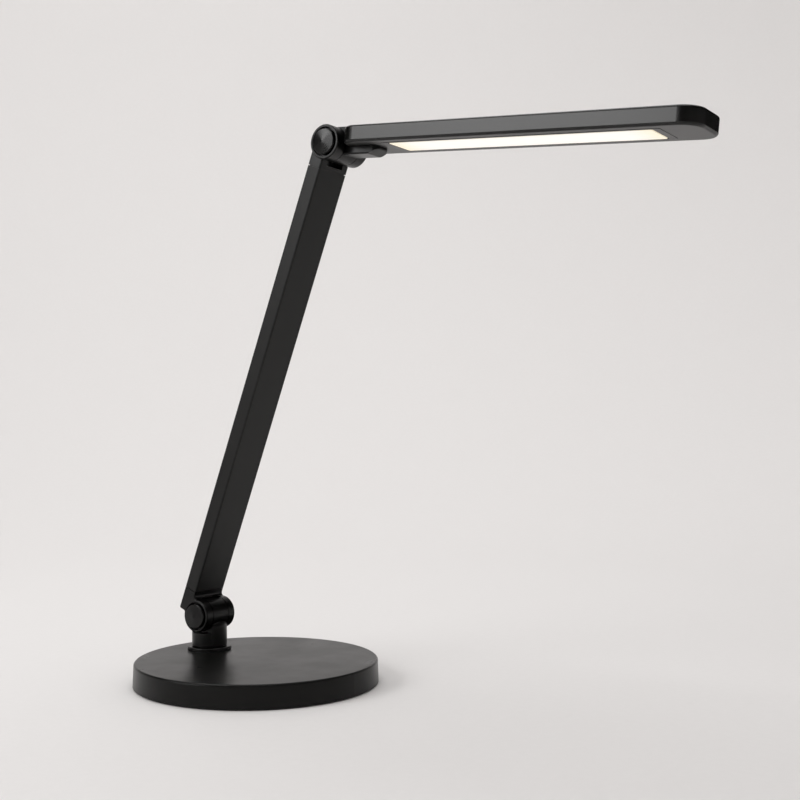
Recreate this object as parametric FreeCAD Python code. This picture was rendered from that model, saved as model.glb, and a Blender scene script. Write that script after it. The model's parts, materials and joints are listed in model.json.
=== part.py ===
import FreeCAD, Part
import math
import os

# A desk lamp with a light bar: round weighted base, swivelling post, one swing arm
# and a flat head. Lengths are in millimetres, angles in degrees. The origin is the
# middle of the base on the desk, Z is up, X is the way the head points and Y runs
# along the two hinge pins.

Vector = FreeCAD.Vector

# Base
base_diameter = 190.0
base_height = 18.2
base_draft = 0.6
base_edge_round = 1.6
base_wall = 2.4
pad_thickness = 1.2
pad_reveal = 0.8
pad_margin = 4.0
plate_thickness = 2.4
plate_ledge = 1.0
base_screw_count = 5
base_screw_inset = 13.0
base_boss_radius = 4.0
weight_gap = 2.0
weight_thickness = 9.0
weight_edge_round = 1.5
rib_count = 10
rib_thickness = 1.6
rib_start = 20.0

# Power inlet in the rear wall of the base
socket_bore = 5.6
socket_depth = 8.5
socket_nose_radius = 4.0
socket_width = 9.0
socket_length = 12.5
socket_inset = 0.3

# Post and its swivel
post_inset = 35.5
post_bearing = 172.1
post_radius = 14.1
collar_radius = 17.6
collar_height = 2.8
collar_edge_round = 0.7
swivel_lift = 0.2
stub_radius = 8.0
stub_bore = 4.2
stub_length = 14.6
outlet_radius = 2.6
bush_wall = 2.5
seat_radius = 24.0
seat_depth = 2.8
swivel_washer_radius = 15.0
swivel_washer_thickness = 1.0
swivel_nut_flats = 24.0
swivel_nut_height = 4.0
stop_reach = 22.0
stop_half_angle = 9.0
stop_drop = 1.8
swing_side = 90.0
swivel_well = 27.0

# Hinges, alike at both ends of the arm
pivot_height = 46.6
knuckle_radius = 13.0
barrel_width = 17.2
hinge_gap = 0.6
friction_washer = 0.5
friction_washer_radius = 10.5
hinge_bolt_radius = 3.0
bolt_head_radius = 5.2
bolt_head_height = 2.8
nut_flats = 10.0
nut_height = 2.8
disc_spring_radius = 7.0
disc_spring_height = 0.7
disc_spring_sheet = 0.45
cap_recess = 4.0
cap_ring = 1.8
cap_groove = 1.4
cap_rise = 2.6
cap_cone = 1.3
cap_edge_round = 0.8
cap_wall = 1.2
boss_rise = 2.9
boss_edge_round = 0.8
shoulder_gap = 1.1
post_crown = 4.0
post_crown_round = 6.0

# Arm
arm_reach = 388.8
arm_lean = 21.2
lower_set = 13.0
upper_set = 5.3
bar_thickness = 12.4
bar_width = 32.6
bar_wall = 1.4
bar_corner = 1.3
lower_seam = 17.4
upper_seam = 19.5
lower_heel = -1.5
heel_round = 1.5
lower_web = 4.5
root_gap = 1.0
upper_root = 16.7
notch_depth = 6.5
cheek_blend = 2.5
heel_blend = 1.5
bar_end_gap = 0.6
seam_depth = 0.8
spigot_length = 28.0
lead_hole = 2.6
lead_width = 4.4
lead_thickness = 2.2
lead_round = 1.0
lead_end = 1.0
arm_screw_spread = 9.0
arm_screw_head = 2.6
arm_screw_rise = 1.0
arm_screw_length = 7.0

# Head
head_length = 275.6
head_width = 48.0
head_thickness = 12.6
head_setback = 15.3
head_drop = 2.4
head_droop = 5.5
head_wall = 1.6
head_floor = 2.4
head_edge_round = 2.0
rear_corner = 14.0
nose_corner = 14.0
neck_flat = 13.0
neck_step_round = 2.5
tongue_end = 41.0
tongue_thickness = 5.7
tongue_tip = 2.0
tongue_slope = 8.0
tongue_slope_round = 3.0
tongue_round = 5.0
bracket_edge_round = 1.2
bracket_lead_offset = -6.0
bracket_lead_height = 5.6
bracket_lead_radius = 2.0
bracket_screw_place = 29.0
bracket_screw_spread = 5.0

# Light panel in the underside of the head
window_start = 55.5
window_length = 202.0
window_width = 27.6
window_corner = 1.5
bezel_side = 2.4
bezel_end = 6.0
bezel_thickness = 1.4
bezel_proud = 0.2
bezel_ledge = 1.0
bezel_bevel = 0.8
diffuser_lip = 1.0
diffuser_lip_thickness = 1.2
diffuser_rise = 0.1
reflector_narrow = 13.0
reflector_end = 6.0
reflector_rim = 1.0
led_board_width = 19.0
led_board_thickness = 1.2
led_columns = 20
led_rows = 2
led_row_pitch = 6.4
led_length = 3.5
led_width = 2.8
led_height = 0.7

# Switch in the rear top of the head
button_place = 36.0
button_radius = 6.0
button_flange = 1.4
button_flange_thickness = 1.2
button_rise = 0.4
button_travel = 0.6
button_stem = 1.8
control_board_start = 24.0
control_board_length = 21.0
control_board_width = 30.0
control_board_thickness = 1.0
control_board_lift = 2.6
standoff_radius = 1.8
tact_side = 6.0
tact_height = 1.4

# Clearances
slip = 0.05
seat_gap = 0.1
seam = 0.15
moving_gap = 0.3

# Small screws, pan headed
screw_radius = 1.3
screw_head_radius = 2.6
screw_head_height = 1.2
screw_length = 8.0

# Places worked out from the sizes above
base_radius = base_diameter / 2
base_screw_circle = base_radius - base_screw_inset
weight_radius = base_screw_circle - base_boss_radius - weight_gap
post_distance = base_radius - post_inset
plate_bottom = pad_thickness
plate_top = plate_bottom + plate_thickness
base_ceiling = base_height - base_wall
weight_top = plate_top + weight_thickness
seat_bottom = base_ceiling - seat_depth
post_x = post_distance * math.cos(math.radians(post_bearing))
post_y = post_distance * math.sin(math.radians(post_bearing))
collar_top = base_height + collar_height
post_bottom = collar_top + swivel_lift
stub_bottom = post_bottom - stub_length
bush_bottom = seat_bottom - seat_gap
socket_center = plate_top + socket_width / 2
barrel_half = barrel_width / 2
cheek_inner = barrel_half + hinge_gap
lower_face = bar_width / 2
upper_face = lower_face + boss_rise
recess_radius = knuckle_radius - cap_ring
cap_radius = recess_radius - cap_groove
root_radius = knuckle_radius + root_gap
shoulder = pivot_height - knuckle_radius - shoulder_gap
bar_back = bar_thickness / 2
upper_pivot_x = upper_set - lower_set
head_end = head_setback + head_length
head_top = head_thickness - head_drop
head_bottom = -head_drop
floor_top = head_bottom + head_floor
head_ceiling = head_top - head_wall
bezel_top = head_bottom + bezel_thickness
bezel_bottom = head_bottom - bezel_proud
lip_top = bezel_top + diffuser_lip_thickness
led_board_bottom = head_ceiling - led_board_thickness
control_board_bottom = floor_top + control_board_lift
control_board_top = control_board_bottom + control_board_thickness
control_board_middle = control_board_start + control_board_length / 2
flange_top = head_ceiling - seat_gap
flange_bottom = flange_top - button_flange_thickness
stem_bottom = control_board_top + tact_height + button_travel + seat_gap


def corner_face(corners):
    """Flat face in the XY plane; each corner is x, y and the radius that rounds it."""
    count = len(corners)
    turns = []
    for index in range(count):
        here = Vector(corners[index][0], corners[index][1], 0)
        radius = corners[index][2]
        before = corners[index - 1]
        after = corners[(index + 1) % count]
        back = (Vector(before[0], before[1], 0) - here).normalize()
        ahead = (Vector(after[0], after[1], 0) - here).normalize()
        half = back.getAngle(ahead) / 2
        reach = radius / math.tan(half)
        inward = (back + ahead).normalize() * (radius / math.sin(half) - radius)
        turns.append((here + back * reach, here + inward, here + ahead * reach, radius))
    edges = []
    for index in range(count):
        start, middle, end, radius = turns[index]
        if radius > 0:
            edges.append(Part.Arc(start, middle, end).toShape())
        following = turns[(index + 1) % count][0]
        if end.distanceToPoint(following) > 1e-6:
            edges.append(Part.LineSegment(end, following).toShape())
    return Part.Face(Part.Wire(edges))


def plan_block(corners, bottom, top):
    """Prism over a plan outline, from one height to another."""
    face = corner_face(corners)
    face.translate(Vector(0, 0, bottom))
    return face.extrude(Vector(0, 0, top - bottom))


def side_block(corners, near, far):
    """Prism over an outline of x and height, from one y to another."""
    face = corner_face(corners)
    face.rotate(Vector(0, 0, 0), Vector(1, 0, 0), 90)
    face.translate(Vector(0, near, 0))
    return face.extrude(Vector(0, far - near, 0))


def length_block(corners, start, end):
    """Prism along X over an outline of y and height."""
    face = corner_face(corners)
    face.rotate(Vector(0, 0, 0), Vector(1, 0, 0), 90)
    face.rotate(Vector(0, 0, 0), Vector(0, 0, 1), 90)
    face.translate(Vector(start, 0, 0))
    return face.extrude(Vector(end - start, 0, 0))


def turned(corners):
    """Solid of revolution about Z from an outline of radius and height."""
    face = corner_face(corners)
    face.rotate(Vector(0, 0, 0), Vector(1, 0, 0), 90)
    return face.revolve(Vector(0, 0, 0), Vector(0, 0, 1), 360)


def upright(radius, bottom, top, x=0, y=0):
    return Part.makeCylinder(radius, top - bottom, Vector(x, y, bottom))


def crosswise(radius, near, far, x=0, z=0):
    """Round bar along Y."""
    return Part.makeCylinder(radius, far - near, Vector(x, near, z), Vector(0, 1, 0))


def lengthwise(radius, start, end, y=0, z=0):
    """Round bar along X."""
    return Part.makeCylinder(radius, end - start, Vector(start, y, z), Vector(1, 0, 0))


def rectangle(start, end, width, corner):
    """Corner list of a rectangle that is centred on the X axis."""
    half = width / 2
    return [(start, -half, corner), (end, -half, corner), (end, half, corner), (start, half, corner)]


def hexagon(flats):
    corners = []
    for index in range(6):
        angle = math.radians(60 * index)
        reach = flats / math.sqrt(3)
        corners.append((reach * math.cos(angle), reach * math.sin(angle), 0))
    return corners


def around(shape, count, first=0.0):
    """Copies of a shape turned about Z by equal steps."""
    copies = []
    for index in range(count):
        copy = shape.copy()
        copy.rotate(Vector(0, 0, 0), Vector(0, 0, 1), first + 360.0 * index / count)
        copies.append(copy)
    return copies


def pan_screw(length):
    """Screw along Z with its head below the origin plane and its shank above."""
    head = upright(screw_head_radius, -screw_head_height, 0)
    return head.fuse(upright(screw_radius, 0, length)).removeSplitter()


def on_post(shape):
    shape.translate(Vector(post_x, post_y, 0))
    return shape


def on_arm(shape):
    """From the arm's own frame, bar upright and lower pivot at the origin, to its place."""
    shape.rotate(Vector(0, 0, 0), Vector(0, 1, 0), arm_lean)
    shape.translate(Vector(post_x, post_y, pivot_height))
    return shape


def at_upper_pivot(shape):
    shape.translate(Vector(upper_pivot_x, 0, arm_reach))
    return on_arm(shape)


def on_head(shape):
    """From the head's own frame, head level and upper pivot at the origin, to its place."""
    lean = math.radians(arm_lean)
    forward = upper_pivot_x * math.cos(lean) + arm_reach * math.sin(lean)
    upward = arm_reach * math.cos(lean) - upper_pivot_x * math.sin(lean)
    shape.rotate(Vector(0, 0, 0), Vector(0, 1, 0), head_droop)
    shape.translate(Vector(post_x + forward, post_y, pivot_height + upward))
    return shape


# Base pieces

def base_shell():
    """Round cover with a drafted wall, a ledge for the plate, screw bosses and ribs."""
    inner = base_radius - base_wall
    crown = base_radius - base_draft
    shell = turned([
        (0, base_ceiling, 0),
        (inner - base_draft, base_ceiling, base_edge_round),
        (inner, plate_top, 0),
        (inner + plate_ledge, plate_top, 0),
        (inner + plate_ledge, pad_reveal, 0),
        (base_radius, pad_reveal, 0),
        (crown, base_height, base_edge_round),
        (0, base_height, 0),
    ])
    boss = upright(base_boss_radius, plate_top, base_ceiling, base_screw_circle)
    half_step = 180.0 / base_screw_count
    bosses = around(boss, base_screw_count, post_bearing + half_step)
    rib = plan_block(rectangle(rib_start, inner - base_wall, rib_thickness, 0), weight_top, base_ceiling)
    ribs = around(rib, rib_count, post_bearing + 180.0 / rib_count)
    seat = upright(seat_radius, seat_bottom, base_ceiling, post_x, post_y)
    tab_room = upright(seat_radius, weight_top, seat_bottom, post_x, post_y)
    shell = shell.fuse(bosses + ribs + [seat]).cut(tab_room).fuse(swivel_stops())
    pilot = upright(screw_radius + slip, plate_top, base_ceiling - base_wall, base_screw_circle)
    pilots = around(pilot, base_screw_count, post_bearing + half_step)
    bush_hole = upright(stub_radius + bush_wall + slip, seat_bottom - stop_drop, base_height, post_x, post_y)
    nose_hole = lengthwise(socket_nose_radius + seam, inner - base_wall, base_diameter, 0, socket_center)
    nose_hole.rotate(Vector(0, 0, 0), Vector(0, 0, 1), post_bearing)
    return shell.cut(pilots + [bush_hole, nose_hole]).removeSplitter()


def swivel_stops():
    """Two lugs under the swivel seat that end the post's swing to each side."""
    lugs = []
    for side in (-1, 1):
        ring = upright(stop_reach, seat_bottom - stop_drop, seat_bottom)
        ring = ring.cut(upright(swivel_washer_radius + moving_gap, seat_bottom - stop_drop, seat_bottom))
        bearing = post_bearing + 180 + side * (swing_side + 2 * stop_half_angle + seam)
        lug = ring.common(sector(stop_half_angle, stop_reach, seat_bottom - stop_drop, seat_bottom))
        lug.rotate(Vector(0, 0, 0), Vector(0, 0, 1), bearing)
        lugs.append(on_post(lug))
    return lugs


def sector(half_angle, radius, bottom, top):
    """Wedge about the X axis, wide enough to cut a pie piece out of a ring."""
    spread = 2 * radius * math.tan(math.radians(half_angle))
    return plan_block([(0, 0, 0), (2 * radius, -spread, 0), (2 * radius, spread, 0)], bottom, top)


def base_plate():
    plate = upright(base_radius - base_wall + plate_ledge - seam, plate_bottom, plate_top)
    hole = upright(screw_radius + seam, plate_bottom, plate_top, base_screw_circle)
    sink_top = plate_bottom + screw_head_height
    sink = upright(screw_head_radius + seam, plate_bottom, sink_top, base_screw_circle)
    first = post_bearing + 180.0 / base_screw_count
    return plate.cut(around(hole, base_screw_count, first) + around(sink, base_screw_count, first))


def base_screws():
    screw = pan_screw(screw_length)
    screw.translate(Vector(base_screw_circle, 0, plate_bottom + screw_head_height))
    return Part.makeCompound(around(screw, base_screw_count, post_bearing + 180.0 / base_screw_count))


def base_pad():
    return upright(base_radius - pad_margin, 0, pad_thickness)


def base_weight():
    """Cast disc with rounded edges and an open well around the swivel."""
    disc = turned([
        (0, plate_top, 0),
        (weight_radius, plate_top, weight_edge_round),
        (weight_radius, weight_top, weight_edge_round),
        (0, weight_top, 0),
    ])
    return disc.cut(upright(swivel_well, plate_top, weight_top, post_x, post_y))


def power_socket():
    """Coaxial socket on the plate; its nose fills the hole in the rear wall."""
    front = base_radius - base_draft - base_wall - socket_inset
    outline = rectangle(front - socket_length, front, socket_width, seam)
    body = plan_block(outline, plate_top, plate_top + socket_width)
    nose = lengthwise(socket_nose_radius, front, base_radius - base_draft - socket_inset, 0, socket_center)
    mouth = base_radius - base_draft - socket_inset
    bore = lengthwise(socket_bore / 2, mouth - socket_depth, mouth, 0, socket_center)
    socket = body.fuse(nose).cut(bore).removeSplitter()
    socket.rotate(Vector(0, 0, 0), Vector(0, 0, 1), post_bearing)
    return socket


# Swivel pieces

def swivel_collar():
    """Flanged bush through the base top; the flange is the collar seen under the post."""
    sleeve = stub_radius + bush_wall
    bore = stub_radius + slip
    return on_post(turned([
        (bore, bush_bottom, 0),
        (sleeve, bush_bottom, 0),
        (sleeve, base_height, 0),
        (collar_radius, base_height, 0),
        (collar_radius, collar_top, collar_edge_round),
        (bore, collar_top, 0),
    ]))


def swivel_washer():
    """Stop washer under the bush; its tab runs between the two lugs."""
    top = bush_bottom - seat_gap
    bottom = top - swivel_washer_thickness
    tab = upright(stop_reach, bottom, top).common(sector(stop_half_angle, stop_reach, bottom, top))
    washer = upright(swivel_washer_radius, bottom, top).fuse(tab)
    washer = washer.cut(upright(stub_radius + slip, bottom, top))
    return on_post(washer.removeSplitter())


def swivel_nut():
    top = bush_bottom - seat_gap - swivel_washer_thickness
    nut = plan_block(hexagon(swivel_nut_flats), top - swivel_nut_height, top)
    return on_post(nut.cut(upright(stub_radius + slip, top - swivel_nut_height, top)))


def post():
    """Round post with a hollow stub below and a hinge barrel on a domed neck above."""
    crown = pivot_height - post_crown
    column = turned([
        (stub_bore, stub_bottom, 0),
        (stub_radius, stub_bottom, 0),
        (stub_radius, post_bottom, 0),
        (post_radius, post_bottom, collar_edge_round),
        (post_radius, crown, post_crown_round),
        (stub_bore, crown, 0),
    ])
    cheek_room = post_radius * 2
    for side in (-1, 1):
        near = min(side * barrel_half, side * cheek_room)
        far = max(side * barrel_half, side * cheek_room)
        room = Part.makeBox(2 * cheek_room, far - near, cheek_room, Vector(-cheek_room, near, shoulder))
        column = column.cut(room)
    barrel = crosswise(knuckle_radius, -barrel_half, barrel_half, 0, pivot_height)
    knuckle = column.fuse(barrel)
    bolt_hole = crosswise(hinge_bolt_radius + slip, -barrel_half, barrel_half, 0, pivot_height)
    channel_top = pivot_height - hinge_bolt_radius - bar_wall - stub_bore
    channel = upright(stub_bore, stub_bottom, channel_top)
    outlet = lengthwise(outlet_radius, -cheek_room, 0, 0, channel_top - outlet_radius)
    return on_post(knuckle.cut([bolt_hole, channel, outlet]).removeSplitter())


# Hinge pieces, made about a pin on the Y axis

def hinge_bolt(face):
    floor = face - cap_recess
    head = crosswise(bolt_head_radius, -floor - bolt_head_height, -floor)
    shank = crosswise(hinge_bolt_radius, -floor, floor + disc_spring_height + nut_height)
    return head.fuse(shank).removeSplitter()


def hinge_nut(face):
    floor = face - cap_recess
    nut = plan_block(hexagon(nut_flats), 0, nut_height)
    nut = nut.cut(upright(hinge_bolt_radius + slip, 0, nut_height))
    nut.rotate(Vector(0, 0, 0), Vector(1, 0, 0), -90)
    nut.translate(Vector(0, floor + disc_spring_height, 0))
    return nut


def disc_spring(face):
    """Coned washer that keeps the hinge tight; its wide edge stands on the recess floor."""
    bore = hinge_bolt_radius + slip
    spring = turned([
        (bore, disc_spring_height - disc_spring_sheet, 0),
        (disc_spring_radius, 0, 0),
        (disc_spring_radius, disc_spring_sheet, 0),
        (bore, disc_spring_height, 0),
    ])
    spring.rotate(Vector(0, 0, 0), Vector(1, 0, 0), -90)
    spring.translate(Vector(0, face - cap_recess, 0))
    return spring


def friction_washers():
    washers = []
    for side in (-1, 1):
        start = side * cheek_inner
        end = side * (cheek_inner - friction_washer)
        washer = crosswise(friction_washer_radius, min(start, end), max(start, end))
        washers.append(washer.cut(crosswise(hinge_bolt_radius + slip, min(start, end), max(start, end))))
    return Part.makeCompound(washers)


def hinge_cap(face, side):
    """Hollow cap with a shallow cone on its face; it stands on the recess floor."""
    floor = face - cap_recess
    top = face + cap_rise
    inside = cap_radius - cap_wall
    cap = turned([
        (0, top - cap_wall, 0),
        (inside, top - cap_cone - cap_wall, 0),
        (inside, floor, 0),
        (cap_radius, floor, 0),
        (cap_radius, top - cap_cone, cap_edge_round),
        (0, top, 0),
    ])
    cap.rotate(Vector(0, 0, 0), Vector(1, 0, 0), -90 * side)
    return cap


def hinge_holes(face):
    """Bolt hole and the two cap recesses, as tools to cut a fork with."""
    holes = [crosswise(hinge_bolt_radius + slip, -face, face)]
    holes.append(crosswise(recess_radius, face - cap_recess, face + cap_rise))
    holes.append(crosswise(recess_radius, -face - cap_rise, cap_recess - face))
    return holes


def soften(shape, radius, x, z):
    """Round the edges along Y that run through one point of the side view."""
    chosen = []
    for edge in shape.Edges:
        ends = [vertex.Point for vertex in edge.Vertexes]
        if len(ends) == 2 and all(abs(end.x - x) < seam and abs(end.z - z) < seam for end in ends):
            chosen.append(edge)
    return shape.makeFillet(radius, chosen)


def round_sides(shape, radius, face, end):
    """Round the outline of both flat sides at y of plus and minus face, up to a cut end."""
    chosen = []
    for edge in shape.Edges:
        points = [vertex.Point for vertex in edge.Vertexes]
        on_side = all(abs(abs(point.y) - face) < seam for point in points)
        at_end = all(abs(point.z - end) < seam for point in points)
        if on_side and not at_end:
            chosen.append(edge)
    return shape.makeFillet(radius, chosen)


# Arm pieces, made with the bar upright

def spigot(center, start, end):
    """Plug that fits the bar from inside and touches its two wide walls."""
    half = bar_back - bar_wall
    width = bar_width - 2 * bar_wall - 2 * seat_gap
    return plan_block(rectangle(center - half, center + half, width, bar_corner), start, end)


def bar_section(center, start, end):
    """Length of the bar's outer form, so that a fork's shank is flush with the bar."""
    return plan_block(rectangle(center - bar_back, center + bar_back, bar_width, bar_corner), start, end)


def bar_stop(center, start, end):
    """Low step that the bar's end stands on; it leaves a fine groove around the seam."""
    half = bar_back - seam_depth
    width = bar_width - 2 * seam_depth
    return plan_block(rectangle(center - half, center + half, width, bar_corner), start, end)


def lower_fork():
    """Two cheeks on the lower pivot, joined behind the post's barrel by a web."""
    back = -lower_set - bar_back
    front = -lower_set + bar_back
    above = lower_seam + spigot_length
    shank = side_block([
        (back, above, 0),
        (front, above, 0),
        (front, lower_heel, 0),
        (back, lower_heel, heel_round),
    ], -lower_face, lower_face)
    cheeks = shank.fuse(crosswise(knuckle_radius, -lower_face, lower_face)).removeSplitter()
    crotch = math.sqrt(knuckle_radius ** 2 - front ** 2)
    notch = math.sqrt(knuckle_radius ** 2 - lower_heel ** 2)
    cheeks = soften(cheeks, cheek_blend, front, crotch)
    cheeks = soften(cheeks, heel_blend, -notch, lower_heel)
    cheeks = round_sides(cheeks, bar_corner, lower_face, above)
    cheeks = cheeks.common(upright(arm_reach, -arm_reach, lower_seam))
    stop = bar_stop(-lower_set, lower_seam, lower_seam + bar_end_gap)
    fork = cheeks.fuse([stop, spigot(-lower_set, lower_seam, above)])
    room = crosswise(root_radius, -cheek_inner, cheek_inner)
    below = Part.makeBox(-2 * back, 2 * cheek_inner, lower_web - back, Vector(2 * back, -cheek_inner, back))
    lead = upright(lead_hole, 0, lower_seam + spigot_length, -lower_set)
    tools = hinge_holes(lower_face) + [room, below, lead]
    tools += arm_screw_holes(-lower_set, lower_seam + spigot_length / 2)
    return on_arm(fork.cut(tools).removeSplitter())


def upper_fork():
    """Two cheeks with raised round bosses that carry the head's barrel, and a lead notch between."""
    boss = turned([
        (0, 0, 0),
        (knuckle_radius, 0, 0),
        (knuckle_radius, upper_face, boss_edge_round),
        (0, upper_face, 0),
    ])
    fork = bar_section(-upper_set, -upper_seam, 0)
    for side in (-1, 1):
        half = boss.copy()
        half.rotate(Vector(0, 0, 0), Vector(1, 0, 0), -90 * side)
        fork = fork.fuse(half)
    stop = bar_stop(-upper_set, -upper_seam - bar_end_gap, -upper_seam)
    fork = fork.fuse([stop, spigot(-upper_set, -upper_seam - spigot_length, -upper_seam)])
    room = crosswise(root_radius, -cheek_inner, cheek_inner)
    notch_start = bar_back - upper_set - notch_depth
    notch = Part.makeBox(notch_depth, 2 * cheek_inner, upper_root,
                         Vector(notch_start, -cheek_inner, -upper_root))
    lead = upright(lead_hole, -upper_seam - spigot_length, 0, -upper_set)
    tools = hinge_holes(upper_face) + [room, notch, lead]
    tools += arm_screw_holes(-upper_set, -upper_seam - spigot_length / 2)
    return at_upper_pivot(fork.cut(tools).removeSplitter())


def arm_screw_holes(center, height):
    holes = []
    start = center - bar_back
    for side in (-1, 1):
        across = side * arm_screw_spread
        holes.append(lengthwise(screw_radius + slip, start, start + arm_screw_length, across, height))
    return holes


def arm_bar():
    """Hollow rectangular bar between the two forks."""
    bottom = lower_seam + bar_end_gap
    top = arm_reach - upper_seam - bar_end_gap
    center = -lower_set
    inset = bar_back - bar_wall
    inside = rectangle(center - inset, center + inset, bar_width - 2 * bar_wall, bar_corner)
    bar = bar_section(center, bottom, top).cut(plan_block(inside, bottom, top))
    holes = arm_screw_holes(center, lower_seam + spigot_length / 2)
    holes += arm_screw_holes(center, arm_reach - upper_seam - spigot_length / 2)
    return on_arm(bar.cut(holes))


def arm_screws():
    """Low round headed screws in the back of the bar, two at each end."""
    back = -lower_set - bar_back
    heights = (lower_seam + spigot_length / 2, arm_reach - upper_seam - spigot_length / 2)
    screws = []
    for height in heights:
        for side in (-1, 1):
            head = turned([
                (0, 0, 0),
                (arm_screw_head, 0, 0),
                (arm_screw_head, arm_screw_rise, arm_screw_rise / 2),
                (0, arm_screw_rise, 0),
            ])
            screw = head.fuse(upright(screw_radius, slip - arm_screw_length, 0)).removeSplitter()
            screw.rotate(Vector(0, 0, 0), Vector(0, 1, 0), -90)
            screw.translate(Vector(back, side * arm_screw_spread, height))
            screws.append(screw)
    return on_arm(Part.makeCompound(screws))


def arm_lead():
    """Flat twin lead inside the bar, from one fork to the other."""
    start = math.sqrt(root_radius ** 2 - lower_set ** 2) + lead_end
    end = arm_reach - upper_root - lead_end
    half = lead_thickness / 2
    outline = rectangle(-lower_set - half, -lower_set + half, lead_width, lead_round)
    return on_arm(plan_block(outline, start, end))


# Head pieces, made with the head level

def head_bracket():
    """Hinge barrel with a neck to the head's rear end and a tongue under its floor."""
    tongue_bottom = head_bottom - tongue_thickness
    neck_top = knuckle_radius
    arm = side_block([
        (0, neck_top, 0),
        (neck_flat, neck_top, neck_step_round),
        (head_setback, head_top - head_edge_round, 0),
        (head_setback, head_bottom, 0),
        (tongue_end, head_bottom, 0),
        (tongue_end, head_bottom - tongue_tip, tongue_tip / 2),
        (tongue_end - tongue_slope, tongue_bottom, tongue_slope_round),
        (0, tongue_bottom, 0),
    ], -barrel_half, barrel_half)
    plan = plan_block([
        (0, -barrel_half, 0),
        (tongue_end, -barrel_half, tongue_round),
        (tongue_end, barrel_half, tongue_round),
        (0, barrel_half, 0),
    ], tongue_bottom, neck_top)
    section = length_block([
        (-barrel_half, tongue_bottom, bracket_edge_round),
        (barrel_half, tongue_bottom, bracket_edge_round),
        (barrel_half, neck_top, bracket_edge_round),
        (-barrel_half, neck_top, bracket_edge_round),
    ], 0, tongue_end)
    barrel = crosswise(knuckle_radius, -barrel_half, barrel_half)
    body = arm.common(plan).common(section).fuse(barrel)
    tools = [crosswise(hinge_bolt_radius + slip, -barrel_half, barrel_half)]
    tools.append(upright(bracket_lead_radius, -knuckle_radius, bracket_lead_height, bracket_lead_offset))
    tools.append(lengthwise(bracket_lead_radius, bracket_lead_offset, head_setback, 0, bracket_lead_height))
    for side in (-1, 1):
        depth = head_bottom - tongue_thickness + bar_wall
        tools.append(upright(screw_radius + slip, depth, head_bottom, bracket_screw_place,
                             side * bracket_screw_spread))
    return on_head(body.cut(tools).removeSplitter())


def bracket_screws():
    """Screws that hold the tongue, put in from inside the head."""
    screws = []
    for side in (-1, 1):
        screw = pan_screw(head_floor + tongue_thickness - 2 * bar_wall)
        screw.rotate(Vector(0, 0, 0), Vector(1, 0, 0), 180)
        screw.translate(Vector(bracket_screw_place, side * bracket_screw_spread, floor_top))
        screws.append(screw)
    return on_head(Part.makeCompound(screws))


def head_plan(inset):
    """Plan of the head with its rounded rear and nose corners."""
    half = head_width / 2 - inset
    return [
        (head_setback + inset, -half, rear_corner - inset),
        (head_end - inset, -half, nose_corner - inset),
        (head_end - inset, half, nose_corner - inset),
        (head_setback + inset, half, rear_corner - inset),
    ]


def panel_plan(side, end):
    """Rectangle around the light window, larger than it by one border at the sides and one at the ends."""
    finish = window_start + window_length + end
    return rectangle(window_start - end, finish, window_width + 2 * side, window_corner)


def head_housing():
    """Thin hollow slab; its floor has a stepped opening for the light panel."""
    block = plan_block(head_plan(0), head_bottom, head_top)
    rims = []
    for edge in block.Edges:
        heights = [vertex.Point.z for vertex in edge.Vertexes]
        if max(heights) - min(heights) < seam:
            rims.append(edge)
    block = block.makeFillet(head_edge_round, rims)
    hollow = plan_block(head_plan(head_wall), floor_top, head_ceiling)
    recess = plan_block(panel_plan(bezel_side + seam, bezel_end + seam), head_bottom, bezel_top)
    inner = panel_plan(bezel_side - bezel_ledge, bezel_end - bezel_ledge)
    opening = plan_block(inner, bezel_top, floor_top)
    tools = [hollow, recess, opening]
    tools.append(upright(button_radius + moving_gap, head_ceiling, head_top, button_place))
    rear_inside = head_setback + head_wall
    tools.append(lengthwise(bracket_lead_radius, head_setback, rear_inside, 0, bracket_lead_height))
    for side in (-1, 1):
        tools.append(upright(screw_radius + slip, head_bottom, floor_top, bracket_screw_place,
                             side * bracket_screw_spread))
    return on_head(block.cut(tools).fuse(standoffs()).removeSplitter())


def standoffs():
    """Four short pillars on the head's floor that carry the control board."""
    pillars = []
    along = control_board_length / 2 - standoff_radius
    across = control_board_width / 2 - standoff_radius
    for end in (-1, 1):
        for side in (-1, 1):
            x = control_board_middle + end * along
            pillars.append(upright(standoff_radius, floor_top, control_board_bottom, x, side * across))
    return pillars


def panel_bezel():
    """Flat frame around the light window, bevelled towards the light."""
    plate = plan_block(panel_plan(bezel_side, bezel_end), bezel_bottom, bezel_top)
    lower = corner_face(panel_plan(bezel_bevel, bezel_bevel)).OuterWire
    upper = corner_face(panel_plan(0, 0)).OuterWire
    lower.translate(Vector(0, 0, bezel_bottom))
    upper.translate(Vector(0, 0, bezel_bottom + bezel_bevel))
    bevel = Part.makeLoft([lower, upper], True)
    window = plan_block(panel_plan(0, 0), bezel_bottom, bezel_top)
    return on_head(plate.cut([bevel, window]).removeSplitter())


def diffuser():
    """Opal plate: a lip rests on the bezel and the middle fills its window."""
    middle = plan_block(panel_plan(-seam, -seam), bezel_bottom - diffuser_rise, bezel_top)
    lip = plan_block(panel_plan(diffuser_lip, diffuser_lip), bezel_top, lip_top)
    return on_head(middle.fuse(lip).removeSplitter())


def reflector():
    """White trough from the board down to the diffuser, sloping on all four sides."""
    block = plan_block(panel_plan(diffuser_lip, diffuser_lip), lip_top, led_board_bottom)
    mouth = diffuser_lip - reflector_rim
    lower = corner_face(panel_plan(mouth, mouth)).OuterWire
    upper = corner_face(rectangle(window_start + reflector_end, window_start + window_length - reflector_end,
                                  reflector_narrow, window_corner)).OuterWire
    lower.translate(Vector(0, 0, lip_top))
    upper.translate(Vector(0, 0, led_board_bottom))
    return on_head(block.cut(Part.makeLoft([lower, upper], True)))


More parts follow.
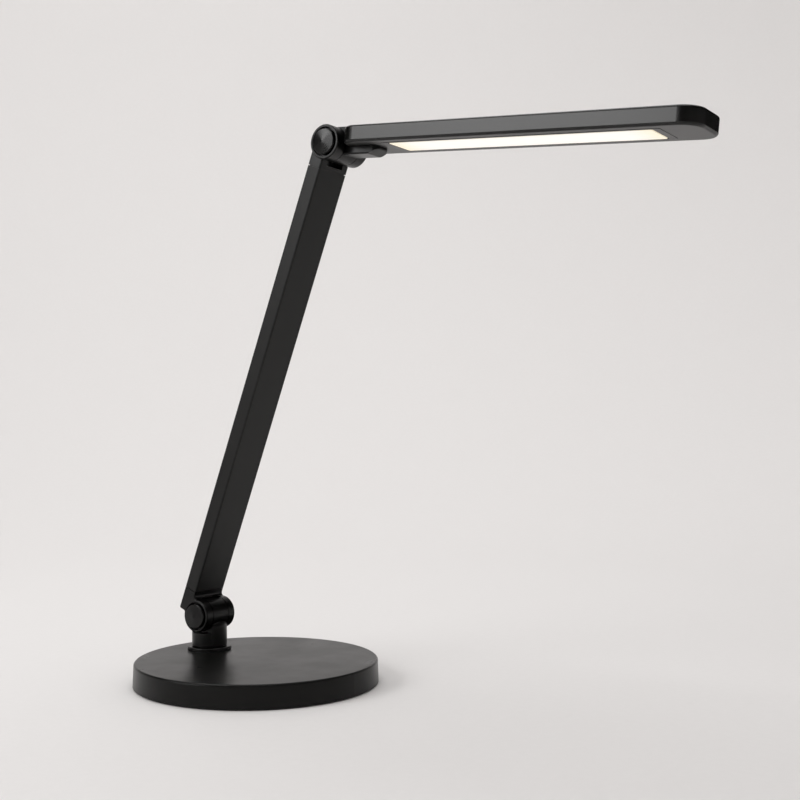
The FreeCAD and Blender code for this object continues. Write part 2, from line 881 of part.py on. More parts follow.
def led_board():
    board = rectangle(window_start, window_start + window_length, led_board_width, window_corner)
    return on_head(plan_block(board, led_board_bottom, head_ceiling))


def led_chips():
    """Rows of small light packages on the underside of the board."""
    pitch = (window_length - 2 * reflector_end) / led_columns
    chips = []
    for column in range(led_columns):
        for row in range(led_rows):
            x = window_start + reflector_end + pitch * (column + 0.5) - led_length / 2
            y = led_row_pitch * (row - (led_rows - 1) / 2) - led_width / 2
            corner = Vector(x, y, led_board_bottom - led_height)
            chips.append(Part.makeBox(led_length, led_width, led_height, corner))
    return on_head(Part.makeCompound(chips))


def control_board():
    end = control_board_start + control_board_length
    board = rectangle(control_board_start, end, control_board_width, seam)
    return on_head(plan_block(board, control_board_bottom, control_board_top))


def tact_switch():
    half = tact_side / 2
    body = rectangle(button_place - half, button_place + half, tact_side, seam)
    return on_head(plan_block(body, control_board_top, control_board_top + tact_height))


def power_button():
    """Round push button, held under the head's top by its flange."""
    button = turned([
        (0, stem_bottom, 0),
        (button_stem, stem_bottom, 0),
        (button_stem, flange_bottom, 0),
        (button_radius + button_flange, flange_bottom, 0),
        (button_radius + button_flange, flange_top, 0),
        (button_radius, flange_top, 0),
        (button_radius, head_top + button_rise, button_rise),
        (0, head_top + button_rise, 0),
    ])
    button.translate(Vector(button_place, 0, 0))
    return on_head(button)


def build():
    os.makedirs("parts", exist_ok=True)
    nodes = {
        "base_shell": base_shell(),
        "base_plate": base_plate(),
        "base_screws": base_screws(),
        "base_pad": base_pad(),
        "base_weight": base_weight(),
        "power_socket": power_socket(),
        "swivel_collar": swivel_collar(),
        "swivel_washer": swivel_washer(),
        "swivel_nut": swivel_nut(),
        "post": post(),
        "lower_bolt": on_arm(hinge_bolt(lower_face)),
        "lower_nut": on_arm(hinge_nut(lower_face)),
        "lower_disc_spring": on_arm(disc_spring(lower_face)),
        "lower_washers": on_arm(friction_washers()),
        "lower_cap_near": on_arm(hinge_cap(lower_face, -1)),
        "lower_cap_far": on_arm(hinge_cap(lower_face, 1)),
        "lower_fork": lower_fork(),
        "arm_bar": arm_bar(),
        "arm_screws": arm_screws(),
        "arm_lead": arm_lead(),
        "upper_fork": upper_fork(),
        "upper_bolt": at_upper_pivot(hinge_bolt(upper_face)),
        "upper_nut": at_upper_pivot(hinge_nut(upper_face)),
        "upper_disc_spring": at_upper_pivot(disc_spring(upper_face)),
        "upper_washers": at_upper_pivot(friction_washers()),
        "upper_cap_near": at_upper_pivot(hinge_cap(upper_face, -1)),
        "upper_cap_far": at_upper_pivot(hinge_cap(upper_face, 1)),
        "head_bracket": head_bracket(),
        "bracket_screws": bracket_screws(),
        "head_housing": head_housing(),
        "panel_bezel": panel_bezel(),
        "diffuser": diffuser(),
        "reflector": reflector(),
        "led_board": led_board(),
        "led_chips": led_chips(),
        "control_board": control_board(),
        "tact_switch": tact_switch(),
        "power_button": power_button(),
    }
    for name, shape in nodes.items():
        shape.exportStep("parts/" + name + ".step")


build()
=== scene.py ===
import json
import math

import bmesh
import bpy
from mathutils import Matrix, Vector


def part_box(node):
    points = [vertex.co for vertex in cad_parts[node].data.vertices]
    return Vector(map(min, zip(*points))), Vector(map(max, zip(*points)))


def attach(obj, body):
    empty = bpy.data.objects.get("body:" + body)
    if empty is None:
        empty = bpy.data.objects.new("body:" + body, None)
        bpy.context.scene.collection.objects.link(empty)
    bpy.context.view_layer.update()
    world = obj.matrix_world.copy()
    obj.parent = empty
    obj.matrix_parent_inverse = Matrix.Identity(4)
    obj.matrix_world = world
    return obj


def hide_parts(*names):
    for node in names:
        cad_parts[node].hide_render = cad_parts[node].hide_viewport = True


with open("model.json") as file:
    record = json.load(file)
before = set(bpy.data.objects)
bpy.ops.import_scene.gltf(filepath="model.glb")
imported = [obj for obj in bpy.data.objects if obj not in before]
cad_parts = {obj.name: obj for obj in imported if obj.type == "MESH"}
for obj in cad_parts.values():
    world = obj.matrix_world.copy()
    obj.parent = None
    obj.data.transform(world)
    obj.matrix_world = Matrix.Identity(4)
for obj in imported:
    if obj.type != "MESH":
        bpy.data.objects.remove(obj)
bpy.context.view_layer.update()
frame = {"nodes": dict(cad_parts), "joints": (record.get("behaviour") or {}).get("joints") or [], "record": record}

# A desk lamp with a light bar, matt black, lit, on a pale studio sweep. Metres, in the
# frame of the solids: origin in the middle of the base on the desk, Z up, X the way the
# head points. Sizes that describe a surface are in millimetres and say so in their names.

nodes = frame["nodes"]
joints = {joint["name"]: joint for joint in frame["joints"]}

# Places read from the frame
lower_pivot = Vector(joints["arm_tilt"]["pos_m"])
upper_pivot = Vector(joints["head_tilt"]["pos_m"])
head_down = Vector(joints["button_press"]["axis"])
head_droop = math.atan2(-head_down.x, -head_down.z)
diffuser_low, diffuser_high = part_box("diffuser")
arm_lean = math.radians(21.2)
arm_frame = Matrix.Translation(lower_pivot) @ Matrix.Rotation(arm_lean, 4, "Y")
head_frame = Matrix.Translation(upper_pivot) @ Matrix.Rotation(head_droop, 4, "Y")
inlet = next(mount for mount in frame["record"]["mounts"] if mount["name"] == "power_inlet")

# Small pieces, in millimetres
screw_back = -19.2
screw_spread = 9.0
screw_heights = (31.4, 355.3)
screw_head_radius = 2.6
screw_head_rise = 1.0
screw_socket_flats = 2.0
screw_socket_depth = 0.7
screw_shank_radius = 1.3
screw_shank_length = 6.95
# Shares of the head's radius and rise, from the flat round the socket to the foot
screw_dome = ((0.62, 1.0), (0.86, 0.86), (0.97, 0.55), (1.0, 0.0))
button_place = 36.0
button_top = 10.6
button_radius = 6.0
button_dish = 0.35
button_rim_round = 0.8
button_skirt = 2.4
pin_radius = 1.05
pin_inset = 1.0
crease = math.radians(35)

# Marks in the finishes, in millimetres; the underside's height is taken from the head's pin
head_underside_mm = -2.4
dry_coat_mm = 1.2
cream_end_mm = 24.0
cream_side_mm = 6.0

# Camera, as the photograph was taken
image_side = 800
focal_pixels = 1168.6
camera_place = Vector((0.6138, -0.6917, 0.2000))
camera_turn = math.radians(34.65)
camera_tilt = math.radians(1.26)

# Studio
sweep_radius = 2.2
sweep_bend = 1.3
sweep_height = 3.4
flag_radius = 1.95
flag_height = 2.0
hinge_aim = (0.1, 0.0, 0.41)


def colour(hex_code):
    """Linear RGBA of an sRGB hex value."""
    channels = [int(hex_code[at:at + 2], 16) / 255 for at in (1, 3, 5)]
    linear = [c / 12.92 if c <= 0.04045 else ((c + 0.055) / 1.055) ** 2.4 for c in channels]
    return (*linear, 1.0)


def per_metre(size_mm):
    """Pattern scale that repeats about once in each such length."""
    return 1000.0 / size_mm


def per_ring(size_mm):
    """Scale at which the rings of a wave texture lie that far apart."""
    return per_metre(size_mm) * 2 * math.pi / 20


def add(tree, kind, inputs=None, **settings):
    """Add one shader node; settings are its properties, inputs are values or linked outputs."""
    made = tree.nodes.new("ShaderNode" + kind)
    for name, value in settings.items():
        setattr(made, name, value)
    for name, value in (inputs or {}).items():
        if isinstance(value, bpy.types.NodeSocket):
            tree.links.new(value, made.inputs[name])
        else:
            made.inputs[name].default_value = value
    return made


def new_material(name):
    """Empty node material and its tree."""
    made = bpy.data.materials.new(name)
    made.use_nodes = True
    made.node_tree.nodes.clear()
    return made, made.node_tree


# Finishes

def grained(name, tone, deep_tone, grain_mm, grain_depth_mm, rough, gloss, cloud_mm=28.0):
    """Surface with a fine even grain, as moulding, casting and coating leave it.

    The grain breaks the highlights into a soft satin; a slow drift of roughness keeps wide faces
    from looking like one flat colour.
    """
    made, tree = new_material(name)
    place = add(tree, "TexCoord").outputs["Object"]
    cloud = add(tree, "TexNoise", {"Vector": place, "Scale": per_metre(cloud_mm), "Detail": 3.0})
    grain = add(tree, "TexNoise", {"Vector": place, "Scale": per_metre(grain_mm), "Detail": 2.0})
    speck = add(tree, "ValToRGB", {"Fac": grain.outputs["Fac"]})
    speck.color_ramp.elements[0].position = 0.30
    speck.color_ramp.elements[0].color = colour(deep_tone)
    speck.color_ramp.elements[1].position = 0.72
    speck.color_ramp.elements[1].color = colour(tone)
    drift = add(tree, "MapRange", {"Value": cloud.outputs["Fac"], "From Min": 0.3, "From Max": 0.7,
                                   "To Min": rough - 0.03, "To Max": rough + 0.03})
    relief = add(tree, "Bump", {"Height": grain.outputs["Fac"], "Strength": 0.35,
                                "Distance": grain_depth_mm / 1000})
    shader = add(tree, "BsdfPrincipled", {
        "Base Color": speck.outputs["Color"],
        "Roughness": drift.outputs["Result"],
        "Specular IOR Level": gloss,
        "Normal": relief.outputs["Normal"],
    })
    add(tree, "OutputMaterial", {"Surface": shader.outputs["BSDF"]})
    return made


def painted_head(name):
    """Folded aluminium sheet sprayed matt black.

    The sides take a full, smooth coat that mirrors soft boxes as even grey bands; the underside
    takes a thin dry coat and looks duller.
    """
    # Spray drops are about 0.1 mm wide; they are drawn coarser so that they show
    drop_mm = 0.6
    drop_depth_mm = 0.008
    made, tree = new_material(name)
    place = add(tree, "TexCoord").outputs["Object"]
    level = add(tree, "Mapping", {"Vector": place, "Location": tuple(upper_pivot),
                                  "Rotation": (0.0, head_droop, 0.0)}, vector_type="TEXTURE")
    height = add(tree, "SeparateXYZ", {"Vector": level.outputs["Vector"]})
    spray = add(tree, "TexNoise", {"Vector": place, "Scale": per_metre(drop_mm), "Detail": 2.0})
    tone = add(tree, "ValToRGB", {"Fac": spray.outputs["Fac"]})
    tone.color_ramp.elements[0].position = 0.3
    tone.color_ramp.elements[0].color = colour("#080807")
    tone.color_ramp.elements[1].position = 0.7
    tone.color_ramp.elements[1].color = colour("#0c0c0b")
    coat = add(tree, "MapRange", {"Value": height.outputs["Z"],
                                  "From Min": head_underside_mm / 1000,
                                  "From Max": (head_underside_mm + dry_coat_mm) / 1000,
                                  "To Min": 0.36, "To Max": 0.25})
    rough = add(tree, "Math", {0: spray.outputs["Fac"], 1: 0.02, 2: coat.outputs["Result"]},
                operation="MULTIPLY_ADD")
    relief = add(tree, "Bump", {"Height": spray.outputs["Fac"], "Strength": 0.35,
                                "Distance": drop_depth_mm / 1000})
    shader = add(tree, "BsdfPrincipled", {
        "Base Color": tone.outputs["Color"],
        "Roughness": rough.outputs["Value"],
        "Specular IOR Level": 0.40,
        "Normal": relief.outputs["Normal"],
    })
    add(tree, "OutputMaterial", {"Surface": shader.outputs["BSDF"]})
    return made


def anodised_bar(name):
    """Extruded aluminium, blasted and anodised black: dull, with faint lines along the bar.

    The lines streak the soft highlights along the bar, so the long faces read as drawn metal.
    """
    # Die lines are about 0.2 mm apart and blasting pits 0.1 mm wide; both are drawn coarser so
    # that they show
    line_mm = 1.2
    line_stretch = 0.012
    pit_mm = 0.5
    relief_mm = 0.05
    made, tree = new_material(name)
    place = add(tree, "TexCoord").outputs["Object"]
    along = add(tree, "Mapping", {"Vector": place, "Rotation": (0.0, -arm_lean, 0.0)})
    lines = add(tree, "Mapping", {"Vector": along.outputs["Vector"], "Scale": (1.0, 1.0, line_stretch)})
    drawn = add(tree, "TexNoise", {"Vector": lines.outputs["Vector"], "Scale": per_metre(line_mm),
                                   "Detail": 3.0})
    pits = add(tree, "TexNoise", {"Vector": place, "Scale": per_metre(pit_mm), "Detail": 2.0})
    both = add(tree, "Math", {0: drawn.outputs["Fac"], 1: pits.outputs["Fac"]}, operation="ADD")
    tone = add(tree, "ValToRGB", {"Fac": drawn.outputs["Fac"]})
    tone.color_ramp.elements[0].position = 0.3
    tone.color_ramp.elements[0].color = colour("#0f0f0e")
    tone.color_ramp.elements[1].position = 0.7
    tone.color_ramp.elements[1].color = colour("#131312")
    rough = add(tree, "MapRange", {"Value": drawn.outputs["Fac"], "From Min": 0.3, "From Max": 0.7,
                                   "To Min": 0.40, "To Max": 0.46})
    relief = add(tree, "Bump", {"Height": both.outputs["Value"], "Strength": 0.2,
                                "Distance": relief_mm / 1000})
    shader = add(tree, "BsdfPrincipled", {
        "Base Color": tone.outputs["Color"],
        "Roughness": rough.outputs["Result"],
        "Specular IOR Level": 0.25,
        "Normal": relief.outputs["Normal"],
    })
    add(tree, "OutputMaterial", {"Surface": shader.outputs["BSDF"]})
    return made


def turned_cap(name, pivot):
    """Aluminium turned on a lathe and anodised black: fine rings around the pin.

    The cap is a shallow cone, which turns the light and dark sides of the studio into wedges that
    meet at the pin.
    """
    # Tool marks are about 0.1 mm apart; they are drawn 1.6 mm apart so that they show
    ring_mm = 1.6
    ring_depth_mm = 0.03
    made, tree = new_material(name)
    place = add(tree, "TexCoord").outputs["Object"]
    centred = add(tree, "Mapping", {"Vector": place, "Location": tuple(-pivot)})
    rings = add(tree, "TexWave", {"Vector": centred.outputs["Vector"], "Scale": per_ring(ring_mm),
                                  "Distortion": 0.4, "Detail": 2.0},
                wave_type="RINGS", rings_direction="Y")
    tone = add(tree, "ValToRGB", {"Fac": rings.outputs["Fac"]})
    tone.color_ramp.elements[0].color = colour("#0c0c0c")
    tone.color_ramp.elements[1].color = colour("#131313")
    relief = add(tree, "Bump", {"Height": rings.outputs["Fac"], "Strength": 0.3,
                                "Distance": ring_depth_mm / 1000})
    shader = add(tree, "BsdfPrincipled", {
        "Base Color": tone.outputs["Color"],
        "Roughness": 0.15,
        "Specular IOR Level": 0.20,
        "Normal": relief.outputs["Normal"],
    })
    add(tree, "OutputMaterial", {"Surface": shader.outputs["BSDF"]})
    return made


def lit_acrylic(name):
    """Opal acrylic cast over the light sources.

    It glows an even white that turns creamy towards its two ends, where fewer sources lie, and a
    little along its long sides.
    """
    mottle_mm = 9.0
    made, tree = new_material(name)
    place = add(tree, "TexCoord").outputs["Object"]
    middle = (diffuser_low + diffuser_high) / 2
    half_length = (diffuser_high.x - diffuser_low.x) / 2
    half_width = (diffuser_high.y - diffuser_low.y) / 2
    centred = add(tree, "Mapping", {"Vector": place, "Location": tuple(-middle)})
    parts = add(tree, "SeparateXYZ", {"Vector": centred.outputs["Vector"]})
    out_x = add(tree, "Math", {0: parts.outputs["X"]}, operation="ABSOLUTE")
    out_y = add(tree, "Math", {0: parts.outputs["Y"]}, operation="ABSOLUTE")
    at_end = add(tree, "MapRange", {"Value": out_x.outputs["Value"],
                                    "From Min": half_length - cream_end_mm / 1000, "From Max": half_length,
                                    "To Min": 0.0, "To Max": 1.0}, interpolation_type="SMOOTHSTEP")
    at_side = add(tree, "MapRange", {"Value": out_y.outputs["Value"],
                                     "From Min": half_width - cream_side_mm / 1000, "From Max": half_width,
                                     "To Min": 0.0, "To Max": 0.4}, interpolation_type="SMOOTHSTEP")
    edge = add(tree, "Math", {0: at_end.outputs["Result"], 1: at_side.outputs["Result"]},
               operation="MAXIMUM")
    tint = add(tree, "ValToRGB", {"Fac": edge.outputs["Value"]})
    tint.color_ramp.elements[0].color = colour("#fffdf8")
    tint.color_ramp.elements[1].color = colour("#fdf0d2")
    mottle = add(tree, "TexNoise", {"Vector": place, "Scale": per_metre(mottle_mm), "Detail": 2.0})
    level = add(tree, "MapRange", {"Value": mottle.outputs["Fac"], "From Min": 0.3, "From Max": 0.7,
                                   "To Min": 0.68, "To Max": 0.71})
    shader = add(tree, "BsdfPrincipled", {
        "Base Color": colour("#a8a69f"),
        "Roughness": 0.4,
        "IOR": 1.49,
        "Emission Color": tint.outputs["Color"],
        "Emission Strength": level.outputs["Result"],
    })
    add(tree, "OutputMaterial", {"Surface": shader.outputs["BSDF"]})
    return made


def plated_steel(name, tone, deep_tone, rough):
    """Plated or blackened steel: metallic, slightly blotched by the bath."""
    blotch_mm = 2.5
    made, tree = new_material(name)
    place = add(tree, "TexCoord").outputs["Object"]
    blotch = add(tree, "TexNoise", {"Vector": place, "Scale": per_metre(blotch_mm), "Detail": 4.0})
    tint = add(tree, "ValToRGB", {"Fac": blotch.outputs["Fac"]})
    tint.color_ramp.elements[0].position = 0.3
    tint.color_ramp.elements[0].color = colour(deep_tone)
    tint.color_ramp.elements[1].position = 0.7
    tint.color_ramp.elements[1].color = colour(tone)
    uneven = add(tree, "MapRange", {"Value": blotch.outputs["Fac"], "From Min": 0.3, "From Max": 0.7,
                                    "To Min": rough - 0.06, "To Max": rough + 0.06})
    shader = add(tree, "BsdfPrincipled", {
        "Base Color": tint.outputs["Color"],
        "Metallic": 1.0,
        "Roughness": uneven.outputs["Result"],
    })
    add(tree, "OutputMaterial", {"Surface": shader.outputs["BSDF"]})
    return made


def foam_rubber(name):
    """Closed-cell foam sheet, black: open bubbles at its cut face make it dull and pitted."""
    # Bubbles are about 0.3 mm wide; they are drawn coarser so that they show
    bubble_mm = 0.9
    bubble_depth_mm = 0.2
    made, tree = new_material(name)
    place = add(tree, "TexCoord").outputs["Object"]
    cells = add(tree, "TexVoronoi", {"Vector": place, "Scale": per_metre(bubble_mm)})
    tint = add(tree, "ValToRGB", {"Fac": cells.outputs["Distance"]})
    tint.color_ramp.elements[0].color = colour("#101010")
    tint.color_ramp.elements[1].color = colour("#262626")
    relief = add(tree, "Bump", {"Height": cells.outputs["Distance"], "Strength": 0.5,
                                "Distance": bubble_depth_mm / 1000})
    shader = add(tree, "BsdfPrincipled", {
        "Base Color": tint.outputs["Color"],
        "Roughness": 0.9,
        "Specular IOR Level": 0.25,
        "Normal": relief.outputs["Normal"],
    })
    add(tree, "OutputMaterial", {"Surface": shader.outputs["BSDF"]})
    return made


def paint_nodes():
    """Give every solid of the frame its finish."""
    # Grains of a tenth of a millimetre or so are drawn several times coarser, so that they show

    # An even matt grain that turns the backdrop into a soft grey on the top
    base_moulding = grained("ABS_moulded_spark_grain", "#121211", "#0d0d0c",
                            grain_mm=0.6, grain_depth_mm=0.03, rough=0.30, gloss=0.15)
    # A finer grain and a deeper black than the base, so the collar stands out as its own piece
    acetal = grained("Acetal_moulded_satin", "#0f0f0e", "#0a0a09",
                     grain_mm=0.5, grain_depth_mm=0.02, rough=0.32, gloss=0.25)
    # Deep black with a faint orange peel, and soft lines of light along the edges
    coat = grained("Cast_aluminium_powder_coated", "#070706", "#040404",
                   grain_mm=0.8, grain_depth_mm=0.02, rough=0.31, gloss=0.25)
    # Clear grey bands on the sides and a duller underside
    head_coat = painted_head("Aluminium_sheet_sprayed_matt")
    # Finer grained than the base, with a broad dull sheen
    trim = grained("ABS_moulded_fine_matt", "#121211", "#0d0d0c",
                   grain_mm=0.5, grain_depth_mm=0.02, rough=0.36, gloss=0.4)
    # Rough dark grey with sand marks
    iron = grained("Iron_cast_raw", "#4a4846", "#2f2d2c",
                   grain_mm=1.4, grain_depth_mm=0.15, rough=0.7, gloss=0.4)
    # Bright and smooth, slightly warm
    white = grained("ABS_moulded_white_reflector", "#f2f1ec", "#e6e4dd",
                    grain_mm=0.8, grain_depth_mm=0.02, rough=0.45, gloss=0.5)
    # White solder mask, a little glossy
    board = grained("Aluminium_core_board_white_mask", "#eceae2", "#dfddd4",
                    grain_mm=0.7, grain_depth_mm=0.02, rough=0.4, gloss=0.5)
    # Green solder mask over woven glass
    green = grained("Glass_fibre_board_green_mask", "#1d5a34", "#154526",
                    grain_mm=0.8, grain_depth_mm=0.02, rough=0.35, gloss=0.5)
    # Yellow phosphor under clear resin
    package = grained("Light_package_phosphor", "#f0d56a", "#e0bf4e",
                      grain_mm=0.5, grain_depth_mm=0.02, rough=0.4, gloss=0.5)
    # Slightly shiny black plastic
    sheath = grained("Nylon_and_PVC_black", "#202020", "#181818",
                     grain_mm=0.7, grain_depth_mm=0.02, rough=0.45, gloss=0.45)
    # Pale grey metal, clouded by the plating bath
    bright = plated_steel("Steel_zinc_plated", "#c9c8c4", "#a9a8a4", rough=0.35)
    # Dark grey metal with a dull oiled look
    black_steel = plated_steel("Steel_black_oxide", "#3a3a3b", "#2a2a2b", rough=0.42)
    arm_screw_heads(black_steel)
    dished_button(trim)
    inlet_pin(bright)
    finishes = (
        (base_moulding, ("base_shell",)),
        (trim, ("panel_bezel", "power_socket", "power_button", "tact_switch", "base_plate")),
        (acetal, ("swivel_collar",)),
        (coat, ("post", "lower_fork", "upper_fork", "head_bracket")),
        (anodised_bar("Aluminium_extruded_black_anodised"), ("arm_bar",)),
        (head_coat, ("head_housing",)),
        (turned_cap("Aluminium_turned_black_lower", lower_pivot), ("lower_cap_near", "lower_cap_far")),
        (turned_cap("Aluminium_turned_black_upper", upper_pivot), ("upper_cap_near", "upper_cap_far")),
        (lit_acrylic("Acrylic_opal_lit"), ("diffuser",)),
        (foam_rubber("Foam_rubber_die_cut"), ("base_pad",)),
        (bright, ("lower_bolt", "lower_nut", "lower_disc_spring", "upper_bolt", "upper_nut",
                  "upper_disc_spring", "swivel_nut", "swivel_washer", "base_screws")),
        (black_steel, ("arm_screws", "bracket_screws")),
        (sheath, ("arm_lead", "lower_washers", "upper_washers")),
        (iron, ("base_weight",)),
        (white, ("reflector",)),
        (board, ("led_board",)),
        (package, ("led_chips",)),
        (green, ("control_board",)),
    )
    for finish, names in finishes:
        for name in names:
            mesh = nodes[name].data
            mesh.materials.clear()
            mesh.materials.append(finish)


# Small pieces

def finish_piece(name, shape, place, finish, body):
    """Turn a mesh made in millimetres into a piece in its place that rides on a body."""
    bmesh.ops.scale(shape, vec=(0.001, 0.001, 0.001), verts=shape.verts)
    bmesh.ops.transform(shape, matrix=place, verts=shape.verts)
    bmesh.ops.recalc_face_normals(shape, faces=shape.faces)
    for face in shape.faces:
        face.smooth = True
    for edge in shape.edges:
        edge.smooth = edge.calc_face_angle(0.0) < crease
    mesh = bpy.data.meshes.new(name)
    shape.to_mesh(mesh)
    shape.free()
    mesh.materials.append(finish)
    made = bpy.data.objects.new(name, mesh)
    bpy.context.scene.collection.objects.link(made)
    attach(made, body)
    return made


def spun(outline, steps):
    """Body of revolution about Z from radius and height pairs that start and end on the axis."""
    shape = bmesh.new()
    line = [shape.verts.new((radius, 0.0, height)) for radius, height in outline]
    edges = [shape.edges.new(pair) for pair in zip(line, line[1:])]
    bmesh.ops.spin(shape, geom=line + edges, cent=(0, 0, 0), axis=(0, 0, 1),
                   angle=2 * math.pi, steps=steps, use_merge=True)
    bmesh.ops.remove_doubles(shape, verts=shape.verts, dist=1e-4)
    return shape


def grown_ring(shape, edges):
    """Extrude a ring of edges in place; gives the new ring's vertices and edges, yet to be moved."""
    made = bmesh.ops.extrude_edge_only(shape, edges=edges)["geom"]
    verts = [item for item in made if isinstance(item, bmesh.types.BMVert)]
    new_edges = [item for item in made if isinstance(item, bmesh.types.BMEdge)]
    return verts, [edge for edge in new_edges if all(vert in verts for vert in edge.verts)]


def socket_screw():
    """Screw with a low domed head and a hexagon socket, its head on the plane of Z zero."""
    shape = bmesh.new()
    mouth = bmesh.ops.create_circle(shape, segments=6, radius=screw_socket_flats / math.sqrt(3))["verts"]
    mouth_edges = list({edge for vert in mouth for edge in vert.link_edges})
    bmesh.ops.subdivide_edges(shape, edges=mouth_edges, cuts=3)
    bmesh.ops.translate(shape, vec=(0, 0, screw_head_rise), verts=shape.verts)
    ring = list(shape.edges)
    deep, floor = grown_ring(shape, ring)
    bmesh.ops.translate(shape, vec=(0, 0, -screw_socket_depth), verts=deep)
    bmesh.ops.contextual_create(shape, geom=floor)
    circles = [(screw_head_radius * reach, screw_head_rise * rise) for reach, rise in screw_dome]
    circles += [(screw_shank_radius, 0.0), (screw_shank_radius, -screw_shank_length)]
    for radius, height in circles:
        verts, ring = grown_ring(shape, ring)
        for vert in verts:
            vert.co.xy = vert.co.xy.normalized() * radius
            vert.co.z = height
    bmesh.ops.contextual_create(shape, geom=ring)
    return shape


def arm_screw_heads(finish):
    """Four screws in the back of the bar, two at each end, of which only the heads are seen."""
    shape = bmesh.new()
    out = Matrix.Rotation(-math.pi / 2, 4, "Y")
    for height in screw_heights:
        for side in (-1, 1):
            head = socket_screw()
            spot = Matrix.Translation((screw_back, side * screw_spread, height))
            bmesh.ops.transform(head, matrix=spot @ out, verts=head.verts)
            joined = bpy.data.meshes.new("one_screw")
            head.to_mesh(joined)
            head.free()
            shape.from_mesh(joined)
            bpy.data.meshes.remove(joined)
    made = finish_piece("arm_screw_heads", shape, arm_frame, finish, "arm")
    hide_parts("arm_screws")


def dished_button(finish):
    """Push button with a shallow finger dish and a rounded rim."""
    rim = button_radius - button_rim_round
    outline = [(0.0, button_top - button_dish)]
    for share in (0.25, 0.5, 0.75, 1.0):
        outline.append((rim * share, button_top - button_dish * (1 - share ** 2)))
    for angle in (30, 60, 90):
        bend = math.radians(angle)
        outline.append((rim + button_rim_round * math.sin(bend),
                        button_top - button_rim_round * (1 - math.cos(bend))))
    outline.append((button_radius, button_top - button_skirt))
    outline.append((0.0, button_top - button_skirt))
    shape = spun(outline, 64)
    bmesh.ops.translate(shape, vec=(button_place, 0, 0), verts=shape.verts)
    made = finish_piece("dished_button", shape, head_frame, finish, "button")
    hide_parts("power_button")


def inlet_pin(finish):
    """Centre pin of the power inlet, with a rounded tip just inside the mouth."""
    depth = inlet["dims"]["length_mm"]
    outline = [(0.0, -depth), (pin_radius, -depth), (pin_radius, -pin_inset - pin_radius)]
    for angle in (30, 60, 90):
        bend = math.radians(angle)
        outline.append((pin_radius * math.cos(bend), -pin_inset - pin_radius * (1 - math.sin(bend))))
    turn = Vector(inlet["axis"]).to_track_quat("Z", "Y").to_matrix().to_4x4()
    place = Matrix.Translation(Vector(inlet["pos_m"])) @ turn
    finish_piece("inlet_pin", spun(outline, 32), place, finish, "base")


# Studio

def sweep_paper():
    """Pale matt backdrop paper with a trace of fibre."""
    # Fibres are about 2 mm long; they are drawn coarser so that they show
    fibre_mm = 6.0
    made, tree = new_material("Paper_matt_backdrop")
    place = add(tree, "TexCoord").outputs["Object"]
    fibre = add(tree, "TexNoise", {"Vector": place, "Scale": per_metre(fibre_mm), "Detail": 3.0})
    tint = add(tree, "ValToRGB", {"Fac": fibre.outputs["Fac"]})
    tint.color_ramp.elements[0].color = colour("#e1dfde")
    tint.color_ramp.elements[1].color = colour("#e4e2e1")
    shader = add(tree, "BsdfDiffuse", {"Color": tint.outputs["Color"]})
    add(tree, "OutputMaterial", {"Surface": shader.outputs["BSDF"]})
    return made


def backdrop_sweep():
    """Round floor that bends up into a wall all about, so that no view shows a horizon."""
    shape = bmesh.new()
    bend_steps = 24
    corner = sweep_radius - sweep_bend
    profile = [shape.verts.new((0.0, 0.0, 0.0)), shape.verts.new((corner, 0.0, 0.0))]
    for step in range(1, bend_steps + 1):
        angle = math.pi / 2 * step / bend_steps
        profile.append(shape.verts.new((corner + sweep_bend * math.sin(angle), 0.0,
                                        sweep_bend * (1 - math.cos(angle)))))
    profile.append(shape.verts.new((sweep_radius, 0.0, sweep_height)))
    edges = [shape.edges.new(pair) for pair in zip(profile, profile[1:])]
    bmesh.ops.spin(shape, geom=profile + edges, cent=(0, 0, 0), axis=(0, 0, 1),
                   angle=2 * math.pi, steps=96, use_merge=True)
    bmesh.ops.remove_doubles(shape, verts=shape.verts, dist=1e-5)
    bmesh.ops.recalc_face_normals(shape, faces=shape.faces)
    for face in shape.faces:
        face.smooth = True
    mesh = bpy.data.meshes.new("backdrop_sweep")
    shape.to_mesh(mesh)
    shape.free()
    mesh.materials.append(sweep_paper())
    sweep = bpy.data.objects.new("backdrop_sweep", mesh)
    bpy.context.scene.collection.objects.link(sweep)


def flag_cloth(name):
    """Black woven cotton, dull, with a trace of its weave."""
    # Threads are about 0.5 mm apart; they are drawn coarser so that they show
    weave_mm = 2.0
    made, tree = new_material("Cotton_woven_black_" + name)
    place = add(tree, "TexCoord").outputs["Object"]
    weave = add(tree, "TexNoise", {"Vector": place, "Scale": per_metre(weave_mm), "Detail": 2.0})
    tint = add(tree, "ValToRGB", {"Fac": weave.outputs["Fac"]})
    tint.color_ramp.elements[0].color = colour("#070707")
    tint.color_ramp.elements[1].color = colour("#0d0d0d")
    shader = add(tree, "BsdfDiffuse", {"Color": tint.outputs["Color"]})
    add(tree, "OutputMaterial", {"Surface": shader.outputs["BSDF"]})
    return made


def black_flag(name, start_degrees, end_degrees):
    """Curved black cloth round the set that only reflections meet, to keep the lamp's sides dark."""
    shape = bmesh.new()
    start = math.radians(start_degrees)
    foot = Vector((math.sin(start), -math.cos(start), 0.0)) * flag_radius
    low = shape.verts.new(foot)
    high = shape.verts.new(foot + Vector((0.0, 0.0, flag_height)))
    edge = shape.edges.new((low, high))
    bmesh.ops.spin(shape, geom=[low, high, edge], cent=(0, 0, 0), axis=(0, 0, 1),
                   angle=math.radians(end_degrees - start_degrees), steps=48)
    mesh = bpy.data.meshes.new(name)
    shape.to_mesh(mesh)
    shape.free()
    mesh.materials.append(flag_cloth(name))
    flag = bpy.data.objects.new(name, mesh)
    flag.visible_camera = False
    flag.visible_diffuse = False
    flag.visible_shadow = False
    bpy.context.scene.collection.objects.link(flag)


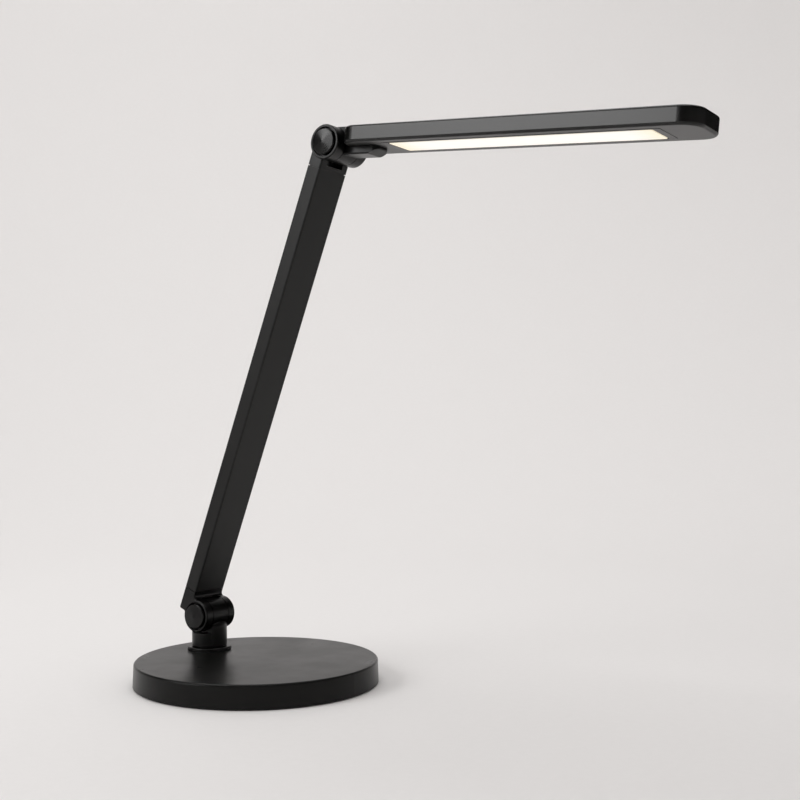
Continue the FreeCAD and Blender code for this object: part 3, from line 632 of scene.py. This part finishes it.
def softbox(name, place, aim, width, height, glow, spread_degrees):
    """Area lamp behind a grid, of a given brightness along its axis, out of sight of the camera."""
    half_spread = math.radians(spread_degrees / 2)
    grid_share = 1 - half_spread / math.tan(half_spread)
    lamp = bpy.data.lights.new(name, "AREA")
    lamp.shape = "RECTANGLE"
    lamp.size = width
    lamp.size_y = height
    lamp.energy = glow * grid_share * width * height * math.pi
    lamp.spread = 2 * half_spread
    made = bpy.data.objects.new(name, lamp)
    made.location = place
    made.rotation_euler = (Vector(aim) - Vector(place)).to_track_quat("-Z", "Y").to_euler()
    made.visible_camera = False
    bpy.context.scene.collection.objects.link(made)


def studio_world():
    """Weak even fill from all about."""
    world = bpy.data.worlds.new("studio_fill")
    world.use_nodes = True
    world.node_tree.nodes.clear()
    fill = add(world.node_tree, "Background", {"Color": colour("#f4f2f0"), "Strength": 0.15})
    add(world.node_tree, "OutputWorld", {"Surface": fill.outputs["Background"]})
    bpy.context.scene.world = world


def studio_camera():
    """Camera that sees the lamp as the photograph does."""
    lens = bpy.data.cameras.new("photo_camera")
    lens.sensor_width = 36.0
    lens.lens = focal_pixels * lens.sensor_width / image_side
    lens.clip_end = 20.0
    camera = bpy.data.objects.new("photo_camera", lens)
    camera.location = camera_place
    camera.rotation_euler = (math.pi / 2 + camera_tilt, 0.0, camera_turn)
    bpy.context.scene.collection.objects.link(camera)
    bpy.context.scene.camera = camera


paint_nodes()
backdrop_sweep()
# Flags keep the front of the head and the post dark
black_flag("right_flag", start_degrees=-8, end_degrees=186)
black_flag("left_flag", start_degrees=-105, end_degrees=-52)
# The key lights the near sides, the strip above it the tops of the caps
softbox("key_softbox", place=(-0.65, -1.62, 0.92), aim=hinge_aim,
        width=1.16, height=0.80, glow=5.2, spread_degrees=110)
softbox("strip_softbox", place=(-0.66, -1.17, 1.14), aim=hinge_aim,
        width=0.9, height=0.30, glow=5.0, spread_degrees=110)
# Even light from above, and a glow on the paper behind
softbox("top_softbox", place=(0.0, 0.2, 2.6), aim=(0.0, 0.2, 0.0),
        width=2.4, height=2.4, glow=1.95, spread_degrees=150)
softbox("backdrop_softbox", place=(-0.7, 0.3, 2.7), aim=(-1.9, 1.3, 0.9),
        width=1.6, height=0.8, glow=6.2, spread_degrees=150)
studio_world()
studio_camera()
bpy.context.scene.view_settings.view_transform = "Standard"
